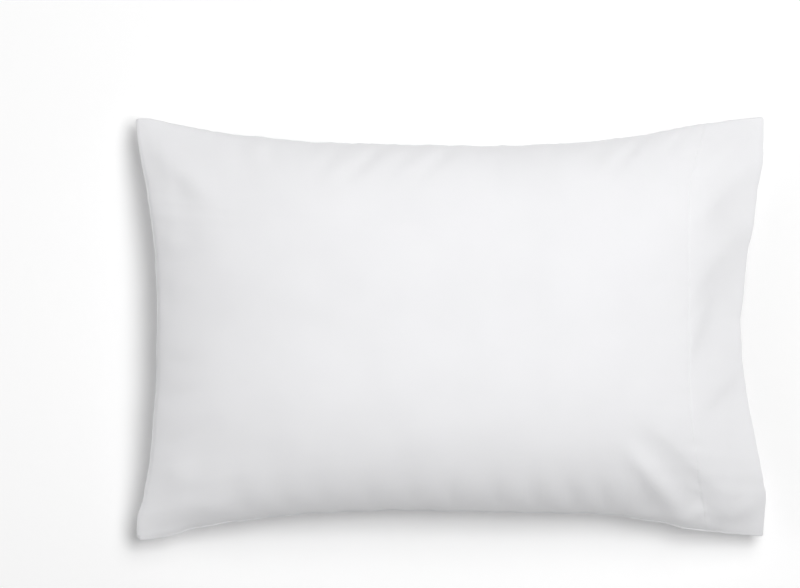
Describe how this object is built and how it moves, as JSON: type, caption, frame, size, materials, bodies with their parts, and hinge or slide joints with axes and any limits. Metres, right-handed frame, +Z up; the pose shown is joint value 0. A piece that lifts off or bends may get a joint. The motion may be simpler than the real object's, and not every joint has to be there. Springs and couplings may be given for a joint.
{
  "type": "pillowcase on a pillow",
  "caption": "Standard pillowcase with a deep plain hem at its open end, filled by a pillow and lying on its back.",
  "frame": {"origin": "on the surface it lies on, under the middle of the bounding box", "axes": "+X along the case from its closed end to its open end, +Y across it, +Z up out of its front face"},
  "size_m": [0.7405, 0.4976, 0.1747],
  "materials": {
    "white_cloth": "matt",
    "pillow_cover": "matt"
  },
  "bodies": {
    "root": {"pillowcase": "white_cloth", "pillow": "pillow_cover"}
  },
  "joints": []
}
